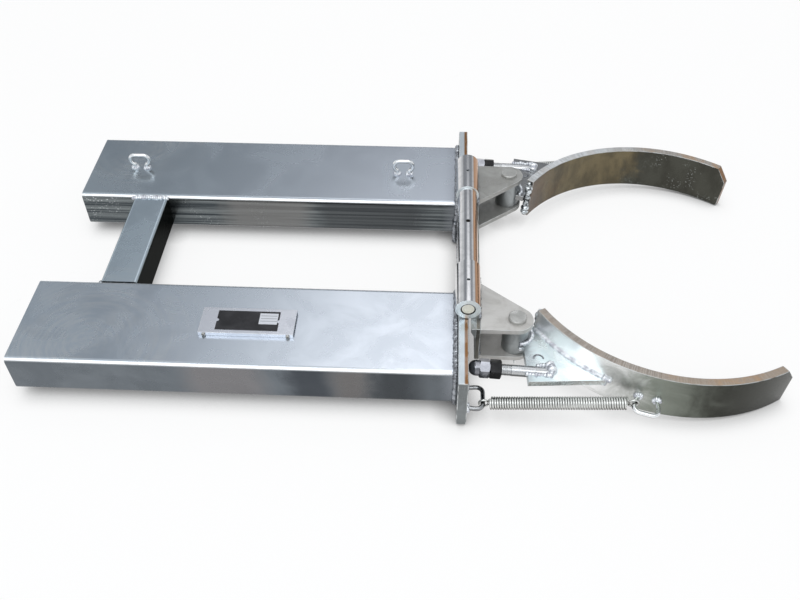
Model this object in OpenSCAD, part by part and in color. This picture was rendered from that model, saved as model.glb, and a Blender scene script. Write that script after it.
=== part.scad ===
// Drum lifter for fork trucks: fork pockets, hinged front frame and two spring-opened drum arms.
// Millimetres. X runs from the pocket mouths towards the arms, Y to the far side, Z up.
// The origin lies midway between the pocket mouths, level with the pocket undersides.

/* [Fork pockets] */
// Outside width of a fork pocket
pocket_w = 200; // [180:5:220]
// Outside height of a fork pocket
pocket_h = 80; // [76:1:90]
// Wall of a fork pocket
pocket_wall = 5; // [4:0.5:8]
// Outer corner radius of a fork pocket
pocket_corner = 10; // [9:0.5:14]
// Length of a fork pocket
pocket_l = 782; // [720:1:1000]
// Distance between the pocket centres
pocket_pitch = 450; // [440:5:480]

/* [Cross bar] */
// Outside size of the square cross bar
bar_size = 70; // [50:1:72]
// Wall of the cross bar
bar_wall = 4; // [3:0.5:6]
// Distance from the pocket mouths to the cross bar
bar_x = 112; // [60:1:300]

/* [Back plate] */
// Thickness of the back plate
plate_t = 18; // [15:1:20]
// Height of the back plate above the pockets
plate_rise = 15; // [12:1:20]
// Drop of the back plate below the pockets
plate_drop = 15; // [8:1:20]
// Length of the back plate beyond each pocket
plate_ear = 33; // [32:1:40]

/* [Hinge] */
// Outside diameter of the end knuckles
knuckle_d = 45; // [42:1:48]
// Outside diameter of the centre tube
centre_tube_d = 38; // [36:1:42]
// Diameter of the hinge pin
hinge_pin_d = 25; // [20:1:28]
// Half length of the whole hinge
hinge_half = 210; // [180:1:220]
// Half length of the centre tube
centre_half = 105; // [80:1:110]
// Diameter of the grease holes
grease_hole_d = 6; // [5:0.5:8]
// Diameter of the grub screw
grub_d = 9; // [7:0.5:10]

/* [Front frame] */
// Free gap between the back plate and the front plate
swing_gap = 13; // [12:1:15]
// Thickness of the front plate
front_t = 8; // [8:1:10]
// Thickness of a clevis plate
clevis_t = 10; // [8:1:12]
// Top face of the lower clevis plates above the pocket undersides
clevis_floor = 26; // [20:1:28]
// Distance from the front plate to the arm pivot
clevis_reach = 65; // [60:1:72]
// Nose radius of a clevis plate
clevis_nose = 28.5; // [26:0.5:32]
// Distance from the centre plane to the inner corner of a clevis plate
clevis_inner = 118; // [110:1:130]
// Distance from the centre plane to an arm pivot
pivot_half = 206; // [204:1:212]

/* [Arm pivots] */
// Diameter of a pivot pin
pivot_pin_d = 25; // [20:1:26]
// Head diameter of a pivot pin
pivot_head_d = 32; // [30:1:38]
// Head height of a pivot pin
pivot_head_h = 7; // [5:0.5:10]
// Outside diameter of a pivot tube
pivot_tube_d = 48; // [44:1:50]

/* [Arms] */
// Inner radius of the arm bands, for a steel drum
drum_r = 295.5; // [285:0.5:305]
// Thickness of an arm band
band_t = 15; // [10:1:18]
// Height of an arm band
band_h = 90; // [80:1:100]
// Lower edge of a band at the pivot, above the pocket undersides
band_low = 11; // [8:1:20]
// Wrap of a band from its root to its upper tip corner, degrees
band_wrap = 88.5; // [80:0.5:95]
// Length of the pointed tip beyond its upper corner
tip_point = 23; // [10:1:30]
// Height of the slanted cut above the point of the tip
tip_drop = 29; // [20:1:45]
// Downward pitch of the arms, degrees
arm_pitch = 3.7; // [2:0.1:5]
// Thickness of a tail plate
tail_t = 12; // [10:1:15]

/* [Stop studs] */
// Thread diameter of a stop stud
stud_d = 20; // [16:1:22]
// Distance from the arm pivot out to the stop stud
stud_out = 82; // [78:1:90]
// Height of the stud axis at the pivot
stud_z = 51; // [48:1:55]
// Width across the flats of the nuts
nut_af = 30; // [28:1:34]
// Height of a lock nut
lock_nut_h = 20; // [14:1:22]
// Height of the hexagon on a dome nut
dome_hex_h = 18; // [14:1:22]
// Free gap between a dome nut and the back plate
stop_gap = 0.5; // [0.4:0.1:1]

/* [Loops and springs] */
// Bar diameter of the loops
loop_bar = 8; // [6:0.5:9]
// Outside width of a lashing loop
lashing_w = 46; // [42:1:54]
// Outside depth of a lashing loop
lashing_depth = 36; // [32:1:40]
// Distance from the pocket mouths to the rear lashing loop
lashing_rear = 103; // [60:1:200]
// Distance from the back plate to the front lashing loop
lashing_front = 117; // [60:1:200]
// Outside width of a spring anchor
anchor_w = 55; // [52:1:60]
// Outside depth of a spring anchor
anchor_depth = 32; // [30:1:36]
// Outside width of an arm loop
arm_loop_w = 49; // [46:1:56]
// Outside depth of an arm loop
arm_loop_depth = 40; // [36:1:44]
// Height of the spring anchors above the pocket undersides
anchor_z = 12; // [8:1:20]
// Outside diameter of a spring
spring_d = 23.5; // [20:0.5:25]
// Wire diameter of a spring
spring_wire = 3.8; // [3:0.1:4]
// Turns of a spring
spring_turns = 54; // [40:1:60]

/* [Data plate] */
// Length of the data plate holder
holder_l = 169; // [150:1:180]
// Width of the data plate holder
holder_w = 61; // [56:1:70]
// Height of the data plate holder
holder_h = 8; // [7:0.5:12]
// Length of the data plate
label_l = 111; // [90:1:120]
// Width of the data plate
label_w = 45.5; // [36:0.5:50]

/* [Hidden] */
$fn = 96;
part_gap = 0.5;
run_gap = 0.05;
cut = 1;

plate_x = pocket_l;
plate_front = plate_x + plate_t;
plate_top = pocket_h + plate_rise;
plate_half = pocket_pitch / 2 + pocket_w / 2 + plate_ear;
inner_wall_y = pocket_pitch / 2 - pocket_w / 2;

hinge_x = plate_front - 2;
hinge_z = plate_top + knuckle_d / 2 + 1.5;
grease_y = (hinge_half + centre_half) / 2;
grub_y = 6;

front_back = plate_front + swing_gap;
front_face = front_back + front_t;
clevis_top = plate_top;
saddle_x = plate_front + 4.5;
saddle_lip = 8;
saddle_foot = 26;
saddle_rise = 14;
pivot_x = front_face + clevis_reach;
clevis_outer = pivot_half + clevis_nose;
washer_h = 4;
split_d = 5;
split_z = clevis_floor - clevis_t - washer_h - split_d;
pivot_foot = split_z - split_d * 1.5;

root_angle = 147.6;
root_dx = 43;
root_in = 26.5;
arc_x = pivot_x + root_dx - drum_r * cos(root_angle);
arc_y = pivot_half - root_in - drum_r * sin(root_angle);
corner_angle = root_angle - band_wrap;
band_out = drum_r + band_t;
tip_angle = corner_angle - tip_point / drum_r * 180 / PI;

// Corners of a tail plate, seen from the arm pivot: along the arm, then outwards
tail_l = 148;
tail_slope = 28;
tail_tip = tail_l + tail_slope;
tail_heel = 40;
tail_toe = 2 * tail_heel;
tail_in = 30;
tail_step = 6;
tail_back = 16;
tail_corner = 14;
tail_over = 28;
tail_edge = 12;
tail_nose = 18;
tail_plan = [
  [tail_step, -tail_back], [tail_corner, stud_out + tail_over], [tail_l, stud_out + tail_edge],
  [tail_tip, stud_out - tail_nose], [tail_toe, -tail_in], [tail_heel, tail_step - tail_in]
];

dome_r = nut_af / 2 - 1;
stud_y = pivot_half + stud_out;
dome_x = pivot_x
  + (plate_front + stop_gap + dome_r - pivot_x - stud_z * sin(arm_pitch)) / cos(arm_pitch);
dome_hex_x = dome_x + 5;
lock_x = dome_hex_x + dome_hex_h;
stud_seat = 52;
stud_end = pivot_x + stud_seat;

loop_bend = 12;
lashing_aside = 4;

anchor_inset = 38;
anchor_y = plate_half - anchor_inset;
arm_loop_angle = 103.6;
arm_loop_z = 45;
hook_out = 18;

// Point of the pitched arm frame seen in the part's own frame
function pitched(p) = [
  pivot_x + (p[0] - pivot_x) * cos(arm_pitch) + p[2] * sin(arm_pitch),
  p[1],
  p[2] * cos(arm_pitch) - (p[0] - pivot_x) * sin(arm_pitch)
];

// Both ends of the far spring: bar of the plate loop, rear leg of the arm loop
leg_half = (arm_loop_w - loop_bar) / 2;
spring_rear = [
  plate_front + anchor_depth - loop_bar / 2,
  anchor_y + (anchor_w - loop_bar) / 2 - loop_bend - 1,
  anchor_z
];
spring_front = pitched([
  arc_x + (band_out + hook_out) * cos(arm_loop_angle) - leg_half * sin(arm_loop_angle),
  arc_y + (band_out + hook_out) * sin(arm_loop_angle) + leg_half * cos(arm_loop_angle),
  arm_loop_z
]);
spring_run = spring_front - spring_rear;
spring_l = norm(spring_run);
spring_turn = atan2(spring_run[1], spring_run[0]);
spring_tilt = asin(spring_run[2] / spring_l);
hook_r = 8;
hook_play = 0.8;
hook_set = hook_r - spring_wire / 2 - loop_bar / 2 - hook_play;
coil_mean = (spring_d - spring_wire) / 2;
coil_from = hook_set + hook_r + 3;
coil_to = spring_l - coil_from;
coil_pitch = (coil_to - coil_from - spring_wire) / (spring_turns - 1);

holder_x = 325;
holder_y = -224;
sheet_t = 2;
label_t = 1;

zinc = [0.72, 0.75, 0.79];
dull_zinc = [0.62, 0.61, 0.58];
bright_zinc = [0.82, 0.84, 0.86];
black_steel = [0.08, 0.08, 0.08];

// Placing

module near_side() {
  mirror([0, 1, 0]) children();
}

module arm_frame() {
  translate([pivot_x, 0, 0]) rotate([0, arm_pitch, 0]) translate([-pivot_x, 0, 0]) children();
}

module along_y(x, z) {
  translate([x, 0, z]) rotate([-90, 0, 0]) children();
}

module along_spring() {
  translate(spring_rear) rotate([0, -spring_tilt, spring_turn]) rotate([0, 90, 0]) children();
}

// Shared shapes

module rounded_section(w, h, r) {
  square([w - 2 * r, h], center = true);
  square([w, h - 2 * r], center = true);
  for (x = [-1, 1], y = [-1, 1]) translate([x * (w / 2 - r), y * (h / 2 - r)]) circle(r = r);
}

module box_tube(w, h, wall, r, l) {
  linear_extrude(height = l) difference() {
    rounded_section(w, h, r);
    rounded_section(w - 2 * wall, h - 2 * wall, r - wall);
  }
}

module torus(ring_r, bar_r) {
  rotate_extrude() translate([ring_r, 0]) circle(r = bar_r, $fn = 32);
}

// Loop of round bar standing on the plane z = 0, with legs that run a little below it
module bar_loop(w, depth) {
  bar_r = loop_bar / 2;
  flat_half = w / 2 - bar_r - loop_bend;
  bend_z = depth - bar_r - loop_bend;
  for (side = [0, 1]) mirror([side, 0, 0]) translate([flat_half, 0, bend_z]) rotate([90, 0, 0]) {
    rotate_extrude(angle = 90) translate([loop_bend, 0]) circle(r = bar_r);
    translate([loop_bend, 0, 0]) rotate([90, 0, 0]) cylinder(r = bar_r, h = bend_z + 6);
    translate([0, loop_bend, 0]) rotate([0, -90, 0]) cylinder(r = bar_r, h = flat_half);
  }
}

module seated_loop(w, depth) {
  difference() {
    bar_loop(w, depth);
    translate([-w, -w, -2 * w]) cube(2 * w);
  }
}

module hexagon(h) {
  cylinder(d = nut_af / cos(30), h = h, $fn = 6);
}

// Hexagon with its corners turned off at the end, as on a machined nut
module turned_hexagon(h) {
  corner_r = nut_af / cos(30) / 2;
  intersection() {
    hexagon(h);
    rotate_extrude() polygon([[0, 0], [nut_af / 2, 0], [corner_r, 1.6], [corner_r, h - 1.6],
                              [nut_af / 2, h], [0, h]]);
  }
}

// Chassis

module fork_pocket() {
  color(zinc) translate([0, pocket_pitch / 2, pocket_h / 2]) rotate([90, 0, 90])
    box_tube(pocket_w, pocket_h, pocket_wall, pocket_corner, pocket_l);
}

module near_fork_pocket() {
  near_side() fork_pocket();
}

module far_fork_pocket() {
  fork_pocket();
}

module rear_crossbar() {
  bar_top = pocket_h - 2;
  color(zinc) translate([bar_x + bar_size / 2, -inner_wall_y, bar_top - bar_size / 2])
    rotate([-90, 0, 0]) box_tube(bar_size, bar_size, bar_wall, bar_wall + 2, 2 * inner_wall_y);
}

module back_plate() {
  color(zinc) translate([plate_x, -plate_half, -plate_drop])
    cube([plate_t, 2 * plate_half, plate_top + plate_drop]);
}

module hinge_cradle() {
  cradle_half = centre_half - 5;
  color(zinc) difference() {
    translate([plate_x, -cradle_half, plate_top])
      cube([plate_t, 2 * cradle_half, hinge_z - plate_top - 6]);
    along_y(hinge_x, hinge_z) translate([0, 0, -hinge_half])
      cylinder(d = centre_tube_d, h = 2 * hinge_half);
  }
}

module hinge_centre_tube() {
  color(bright_zinc) difference() {
    along_y(hinge_x, hinge_z) translate([0, 0, -centre_half]) difference() {
      cylinder(d = centre_tube_d, h = 2 * centre_half);
      translate([0, 0, -cut]) cylinder(d = hinge_pin_d, h = 2 * centre_half + 2 * cut);
    }
    translate([hinge_x, grub_y, hinge_z]) cylinder(d = grub_d, h = centre_tube_d);
  }
}

module hinge_pin() {
  pin_half = hinge_half - 1;
  color(dull_zinc) along_y(hinge_x, hinge_z) translate([0, 0, -pin_half])
    cylinder(d = hinge_pin_d, h = 2 * pin_half);
}

module hinge_grub_screw() {
  screw_h = (centre_tube_d - hinge_pin_d) / 2 - 1;
  color(dull_zinc) translate([hinge_x, grub_y, hinge_z + hinge_pin_d / 2]) difference() {
    cylinder(d = grub_d, h = screw_h);
    translate([0, 0, screw_h - 2.5]) cylinder(d = grub_d * 0.6, h = 4, $fn = 6);
  }
}

module lashing_loop(x) {
  color(bright_zinc) translate([x, pocket_pitch / 2 - lashing_aside, pocket_h])
    seated_loop(lashing_w, lashing_depth);
}

module lashing_loop_rear() {
  lashing_loop(lashing_rear);
}

module lashing_loop_front() {
  lashing_loop(pocket_l - lashing_front);
}

module spring_anchor() {
  color(bright_zinc) translate([plate_front, anchor_y, anchor_z])
    rotate([0, 90, 0]) rotate([0, 0, 90]) seated_loop(anchor_w, anchor_depth);
}

module near_spring_anchor() {
  near_side() spring_anchor();
}

module far_spring_anchor() {
  spring_anchor();
}

module data_plate_holder() {
  flange_y = holder_w / 2 - sheet_t;
  color(bright_zinc) translate([holder_x, holder_y, pocket_h]) {
    translate([0, -holder_w / 2, holder_h - sheet_t]) cube([holder_l, holder_w, sheet_t]);
    for (y = [-holder_w / 2, flange_y]) translate([0, y, 0]) cube([holder_l, sheet_t, holder_h]);
  }
}

module data_plate() {
  notch_r = 4;
  color(black_steel) translate([holder_x + holder_l / 2, holder_y, pocket_h + holder_h])
    linear_extrude(height = label_t) difference() {
      square([label_l, label_w], center = true);
      for (x = [-1, 1]) translate([x * label_l / 2, 0]) circle(r = notch_r);
    }
}

module data_plate_screws() {
  head_d = 7;
  color(dull_zinc) for (x = [10, holder_l - 10])
    translate([holder_x + x, holder_y - holder_w / 2, pocket_h + head_d / 2 + 0.3])
      rotate([90, 0, 0]) difference() {
        cylinder(d = head_d, h = 3);
        translate([0, 0, 1.2]) cylinder(d = 3.4, h = 3, $fn = 6);
      }
}

// Front frame

module front_plate() {
  foot = clevis_floor - clevis_t;
  color(zinc) translate([front_back, -clevis_outer, foot])
    cube([front_t, 2 * clevis_outer, clevis_top - foot]);
}

module knuckle() {
  from = centre_half + part_gap;
  color(bright_zinc) difference() {
    along_y(hinge_x, hinge_z) translate([0, 0, from]) difference() {
      cylinder(d = knuckle_d, h = hinge_half - from);
      translate([0, 0, -cut]) cylinder(r = hinge_pin_d / 2 + run_gap, h = hinge_half);
    }
    translate([hinge_x, grease_y, hinge_z]) cylinder(d = grease_hole_d, h = knuckle_d);
  }
}

module near_knuckle() {
  near_side() knuckle();
}

module far_knuckle() {
  knuckle();
}

// Wedge behind the front plate that carries the knuckle
module knuckle_saddle() {
  from = centre_half + part_gap;
  color(dull_zinc) difference() {
    union() {
      translate([0, clevis_outer, 0]) rotate([90, 0, 0]) linear_extrude(height = clevis_outer - from)
        polygon([[saddle_x, clevis_top], [front_back, clevis_top], [front_back, clevis_top - saddle_foot],
                 [saddle_x, clevis_top - saddle_lip]]);
      translate([saddle_x, from, clevis_top])
        cube([front_face - 3 - saddle_x, hinge_half - from, saddle_rise]);
    }
    along_y(hinge_x, hinge_z) translate([0, 0, from - cut])
      cylinder(d = knuckle_d, h = hinge_half - from + 2 * cut);
  }
}

module near_knuckle_saddle() {
  near_side() knuckle_saddle();
}

module far_knuckle_saddle() {
  knuckle_saddle();
}

// Plan of a clevis plate: base on the front plate, slanted inner edge, round nose at the pivot
module clevis_plan() {
  base_w = clevis_outer - clevis_inner;
  to_pivot = [pivot_x - front_face, pivot_half - clevis_inner];
  tangent = atan2(to_pivot[1], to_pivot[0]) - asin(clevis_nose / norm(to_pivot));
  touch = to_pivot + clevis_nose * [sin(tangent), -cos(tangent)];
  difference() {
    union() {
      translate([front_face, clevis_inner])
        polygon([[0, 0], touch, to_pivot, [to_pivot[0], base_w], [0, base_w]]);
      translate([pivot_x, pivot_half]) circle(r = clevis_nose);
    }
    translate([pivot_x, pivot_half]) circle(d = pivot_pin_d);
  }
}

module upper_clevis() {
  color(dull_zinc) translate([0, 0, clevis_top - clevis_t])
    linear_extrude(height = clevis_t) clevis_plan();
}

module lower_clevis() {
  color(dull_zinc) translate([0, 0, clevis_floor - clevis_t])
    linear_extrude(height = clevis_t) clevis_plan();
}

module near_upper_clevis() {
  near_side() upper_clevis();
}

module far_upper_clevis() {
  upper_clevis();
}

module near_lower_clevis() {
  near_side() lower_clevis();
}

module far_lower_clevis() {
  lower_clevis();
}

module pivot_pin() {
  pin_r = pivot_pin_d / 2;
  head_r = pivot_head_d / 2;
  color(dull_zinc) translate([pivot_x, pivot_half, 0]) difference() {
    rotate_extrude() polygon([
      [0, pivot_foot], [pin_r - 1.5, pivot_foot], [pin_r, pivot_foot + 1.5], [pin_r, clevis_top],
      [head_r, clevis_top], [head_r, clevis_top + pivot_head_h - 1.5],
      [head_r - 1.5, clevis_top + pivot_head_h], [0, clevis_top + pivot_head_h]
    ]);
    translate([0, pivot_pin_d, split_z]) rotate([90, 0, 0]) cylinder(d = split_d, h = 2 * pivot_pin_d);
  }
}

module near_pivot_pin() {
  near_side() pivot_pin();
}

module far_pivot_pin() {
  pivot_pin();
}

module pivot_washers() {
  color(zinc) for (side = [-1, 1])
    translate([pivot_x, side * pivot_half, clevis_floor - clevis_t - washer_h]) difference() {
      cylinder(d = pivot_pin_d + 15, h = washer_h);
      translate([0, 0, -cut]) cylinder(d = pivot_pin_d, h = washer_h + 2 * cut);
    }
}

module split_pins() {
  reach = pivot_pin_d / 2 + 5;
  color(bright_zinc) for (side = [-1, 1]) translate([pivot_x, side * pivot_half, split_z]) {
    translate([0, reach, 0]) rotate([90, 0, 0]) cylinder(d = split_d, h = 2 * reach);
    translate([0, -reach - 3, 0]) rotate([0, 90, 0]) torus(4, split_d / 4);
  }
}

// Arms

module band_at(angle, r, z) {
  translate([arc_x, arc_y, z]) rotate([0, 0, angle]) translate([r, 0, 0]) children();
}

module arm_band() {
  slant = atan(tip_point / tip_drop);
  color(zinc) arm_frame() difference() {
    translate([arc_x, arc_y, 0]) rotate([0, 0, tip_angle])
      rotate_extrude(angle = root_angle - tip_angle, $fn = 180)
        translate([drum_r, band_low]) square([band_t, band_h]);
    band_at(tip_angle, drum_r - band_t, band_low + band_h - tip_drop) rotate([-slant, 0, 0])
      translate([0, -2 * band_h, 0]) cube([3 * band_t, 2 * band_h, band_h]);
  }
}

module near_arm_band() {
  near_side() arm_band();
}

module far_arm_band() {
  arm_band();
}

module pivot_tube() {
  color(zinc) translate([pivot_x, pivot_half, clevis_floor + part_gap]) difference() {
    tube_h = clevis_top - clevis_t - clevis_floor - 2 * part_gap;
    cylinder(d = pivot_tube_d, h = tube_h);
    translate([0, 0, -cut]) cylinder(r = pivot_pin_d / 2 + run_gap, h = tube_h + 2 * cut);
  }
}

module near_pivot_tube() {
  near_side() pivot_tube();
}

module far_pivot_tube() {
  pivot_tube();
}

// Level plate that joins the pivot tube, the stop stud and the band
module tail_plate() {
  color(zinc) difference() {
    arm_frame() difference() {
      translate([pivot_x, pivot_half, stud_z - tail_t / 2]) linear_extrude(height = tail_t)
        polygon(tail_plan);
      translate([arc_x, arc_y, 0]) cylinder(r = band_out, h = 2 * band_h, $fn = 180);
      translate([dome_x, stud_y, stud_z]) rotate([0, 90, 0])
        cylinder(d = stud_d, h = stud_end - dome_x);
    }
    translate([pivot_x, pivot_half, 0]) cylinder(d = pivot_tube_d, h = clevis_top);
  }
}

module near_tail_plate() {
  near_side() tail_plate();
}

module far_tail_plate() {
  tail_plate();
}

module stop_stud() {
  color(bright_zinc) arm_frame() translate([dome_hex_x + 2, stud_y, stud_z]) rotate([0, 90, 0])
    cylinder(d = stud_d, h = stud_end - dome_hex_x - 2);
}

module near_stop_stud() {
  near_side() stop_stud();
}

module far_stop_stud() {
  stop_stud();
}

module lock_nut() {
  color(black_steel) arm_frame() translate([lock_x, stud_y, stud_z]) rotate([0, 90, 0])
    difference() {
      turned_hexagon(lock_nut_h);
      translate([0, 0, -cut]) cylinder(d = stud_d, h = lock_nut_h + 2 * cut);
    }
}

module near_lock_nut() {
  near_side() lock_nut();
}

module far_lock_nut() {
  lock_nut();
}

module dome_nut() {
  neck_l = dome_hex_x - dome_x;
  color(bright_zinc) arm_frame() difference() {
    translate([dome_x, stud_y, stud_z]) {
      sphere(r = dome_r);
      rotate([0, 90, 0]) cylinder(r = dome_r, h = neck_l);
      translate([neck_l, 0, 0]) rotate([0, 90, 0]) turned_hexagon(dome_hex_h);
    }
    translate([dome_hex_x + 2, stud_y, stud_z]) rotate([0, 90, 0])
      cylinder(d = stud_d, h = dome_hex_h);
  }
}

module near_dome_nut() {
  near_side() dome_nut();
}

module far_dome_nut() {
  dome_nut();
}

module arm_loop() {
  color(bright_zinc) arm_frame() difference() {
    band_at(arm_loop_angle, band_out, arm_loop_z) rotate([0, 90, 0]) rotate([0, 0, 90])
      bar_loop(arm_loop_w, arm_loop_depth);
    translate([arc_x, arc_y, 0]) cylinder(r = band_out, h = 2 * band_h, $fn = 180);
  }
}

module near_arm_loop() {
  near_side() arm_loop();
}

module far_arm_loop() {
  arm_loop();
}

// Springs, drawn along Z from the plate loop and laid on the line to the arm loop

module hook() {
  wire_r = spring_wire / 2;
  color(bright_zinc) translate([0, 0, hook_set]) {
    rotate([90, 0, 0]) torus(hook_r, wire_r);
    translate([0, 0, hook_r]) cylinder(r = wire_r, h = 3 + wire_r, $fn = 32);
    translate([0, 0, hook_r + 3]) rotate([0, 90, 0]) cylinder(r = wire_r - 0.2, h = coil_mean, $fn = 32);
  }
}

module spring_rear_hook() {
  along_spring() hook();
}

module spring_front_hook() {
  along_spring() translate([0, 0, spring_l]) mirror([0, 0, 1]) hook();
}

module spring_coil() {
  wire_r = spring_wire / 2;
  color(bright_zinc) along_spring() translate([0, 0, coil_from + wire_r]) rotate_extrude() {
    translate([coil_mean - 1, 0]) square([1.6, (spring_turns - 1) * coil_pitch]);
    for (turn = [1 : spring_turns - 2]) translate([coil_mean, turn * coil_pitch])
      circle(r = wire_r, $fn = 24);
  }
}

module near_spring_rear_hook() {
  near_side() spring_rear_hook();
}

module near_spring_coil() {
  near_side() spring_coil();
}

module near_spring_front_hook() {
  near_side() spring_front_hook();
}

module far_spring_rear_hook() {
  spring_rear_hook();
}

module far_spring_coil() {
  spring_coil();
}

module far_spring_front_hook() {
  spring_front_hook();
}

near_fork_pocket();
far_fork_pocket();
rear_crossbar();
back_plate();
hinge_cradle();
hinge_centre_tube();
hinge_pin();
hinge_grub_screw();
lashing_loop_rear();
lashing_loop_front();
near_spring_anchor();
far_spring_anchor();
data_plate_holder();
data_plate();
data_plate_screws();
front_plate();
near_knuckle();
far_knuckle();
near_knuckle_saddle();
far_knuckle_saddle();
near_upper_clevis();
far_upper_clevis();
near_lower_clevis();
far_lower_clevis();
near_pivot_pin();
far_pivot_pin();
pivot_washers();
split_pins();
near_arm_band();
far_arm_band();
near_pivot_tube();
far_pivot_tube();
near_tail_plate();
far_tail_plate();
near_stop_stud();
far_stop_stud();
near_lock_nut();
far_lock_nut();
near_dome_nut();
far_dome_nut();
near_arm_loop();
far_arm_loop();
near_spring_rear_hook();
near_spring_coil();
near_spring_front_hook();
far_spring_rear_hook();
far_spring_coil();
far_spring_front_hook();
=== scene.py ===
import math

import bpy
import bmesh
from mathutils import Matrix, Vector


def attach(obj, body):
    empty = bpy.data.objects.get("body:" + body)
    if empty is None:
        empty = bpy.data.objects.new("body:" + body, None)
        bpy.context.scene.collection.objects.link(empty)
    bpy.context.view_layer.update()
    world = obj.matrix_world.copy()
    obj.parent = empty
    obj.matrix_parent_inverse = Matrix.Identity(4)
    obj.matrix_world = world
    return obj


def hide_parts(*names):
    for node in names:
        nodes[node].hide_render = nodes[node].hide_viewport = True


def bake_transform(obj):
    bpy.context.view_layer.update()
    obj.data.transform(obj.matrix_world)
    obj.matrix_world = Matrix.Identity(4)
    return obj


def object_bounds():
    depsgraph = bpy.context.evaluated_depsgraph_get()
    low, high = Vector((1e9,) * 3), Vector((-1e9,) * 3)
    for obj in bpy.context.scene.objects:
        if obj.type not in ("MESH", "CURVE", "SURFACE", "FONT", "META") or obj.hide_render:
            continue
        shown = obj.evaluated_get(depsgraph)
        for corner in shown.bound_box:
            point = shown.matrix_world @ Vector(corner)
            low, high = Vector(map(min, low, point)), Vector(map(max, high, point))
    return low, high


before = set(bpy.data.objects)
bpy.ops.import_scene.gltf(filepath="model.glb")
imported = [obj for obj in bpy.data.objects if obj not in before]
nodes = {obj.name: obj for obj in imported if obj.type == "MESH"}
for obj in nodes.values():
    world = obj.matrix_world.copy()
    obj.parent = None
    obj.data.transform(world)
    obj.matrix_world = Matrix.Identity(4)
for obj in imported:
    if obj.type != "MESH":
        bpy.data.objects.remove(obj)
cadBox = [list(corner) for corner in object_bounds()]
scene = bpy.context.scene
print("frame loaded:", len(nodes), "nodes")

# sizes that several pieces share, in metres, as in the solid model
lifter = {
    "pocketHalfPitch": 0.225, "pocketHeight": 0.080, "pocketLength": 0.782, "plateFront": 0.800, "plateHalf": 0.358,
    "hingeX": 0.798, "hingeZ": 0.119, "pivotX": 0.886, "pivotHalf": 0.206, "armPitch": 3.7,
    "arcX": 1.178499, "arcY": 0.021163, "bandOut": 0.3105, "studY": 0.288, "studZ": 0.051, "studEnd": 0.938,
}
sides = {"near": -1, "far": 1}
socketKinds = {float: "Float", int: "Int", tuple: "Vector"}


# helpers for node trees; an input is a number, a tuple or a socket to link
def feed(tree, node, inputs):
    for label, value in inputs.items():
        if isinstance(value, bpy.types.NodeSocket):
            tree.links.new(value, node.inputs[label])
        else:
            node.inputs[label].default_value = value
    return node


def addNode(tree, kind, inputs=None, **settings):
    node = tree.nodes.new(kind)
    for key, value in settings.items():
        setattr(node, key, value)
    return feed(tree, node, inputs or {})


# an input given as a word is a kind of socket without a starting value
def newGroup(name, kind, inputs, outputs, outputKind):
    tree = bpy.data.node_groups.new(name, kind)
    for label, start in inputs.items():
        socketKind = socketKinds.get(type(start), start)
        socket = tree.interface.new_socket(label, in_out="INPUT", socket_type="NodeSocket" + socketKind)
        if socketKind != start:
            socket.default_value = start
    for label in outputs:
        tree.interface.new_socket(label, in_out="OUTPUT", socket_type="NodeSocket" + outputKind)
    return tree, tree.nodes.new("NodeGroupInput").outputs, tree.nodes.new("NodeGroupOutput")


def shaderGroup(name, inputs, *outputs):
    return newGroup(name, "ShaderNodeTree", inputs, outputs, "Float")


def math2(tree, operation, a, b=0.0, clamp=False):
    return addNode(tree, "ShaderNodeMath", {0: a, 1: b}, operation=operation, use_clamp=clamp).outputs[0]


def times(tree, first, *others):
    for other in others:
        first = math2(tree, "MULTIPLY", first, other)
    return first


def plus(tree, a, b):
    return math2(tree, "ADD", a, b)


def ramp(tree, value, low, high, toLow=0.0, toHigh=1.0):
    inputs = {0: value, 1: low, 2: high, 3: toLow, 4: toHigh}
    return addNode(tree, "ShaderNodeMapRange", inputs, interpolation_type="SMOOTHSTEP").outputs[0]


# colour b over colour a where the mask is high
def blendColour(tree, mask, a, b):
    a, b = (colour + (1.0,) if isinstance(colour, tuple) else colour for colour in (a, b))
    return addNode(tree, "ShaderNodeMix", {0: mask, 6: a, 7: b}, data_type="RGBA").outputs[2]


def textureSpace(tree, label="Object"):
    return addNode(tree, "ShaderNodeTexCoord").outputs[label]


def split(tree, vector):
    return addNode(tree, "ShaderNodeSeparateXYZ", {0: vector}).outputs


def vectorMath(tree, operation, *inputs):
    return addNode(tree, "ShaderNodeVectorMath", dict(enumerate(inputs)), operation=operation).outputs


def combine(tree, inputs):
    return addNode(tree, "ShaderNodeCombineXYZ", inputs).outputs[0]


def noise(tree, point, scale, detail, roughness=0.5, distortion=0.0):
    inputs = {"Vector": point, "Scale": scale, "Detail": detail, "Roughness": roughness, "Distortion": distortion}
    return addNode(tree, "ShaderNodeTexNoise", inputs).outputs[0]


# plating that all zinc pieces share: cloudy patches, drawn streaks, pin-head specks
def buildPlating():
    tree, inp, out = shaderGroup("zincPlating", {"Patch Size": 18.0, "Streak Size": 90.0, "Speck Size": 260.0},
                                 "Patches", "Streaks", "Specks", "Height")
    point = textureSpace(tree)
    patches = noise(tree, point, inp["Patch Size"], 5.0, 0.62, 0.6)
    drawn = addNode(tree, "ShaderNodeMapping", {"Vector": point, "Scale": (0.010, 1.0, 1.0)})
    streaks = noise(tree, drawn.outputs[0], inp["Streak Size"], 6.0, 0.7)
    cells = addNode(tree, "ShaderNodeTexVoronoi", {"Vector": point, "Scale": inp["Speck Size"], "Randomness": 1.0})
    dots = ramp(tree, cells.outputs["Distance"], 0.12, 0.34, 1.0, 0.0)
    feed(tree, out, {"Patches": ramp(tree, patches, 0.3, 0.7), "Streaks": ramp(tree, streaks, 0.40, 0.60),
                     "Specks": times(tree, dots, ramp(tree, patches, 0.5, 0.66)),
                     "Height": noise(tree, point, inp["Patch Size"], 1.0)})
    return tree


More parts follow.
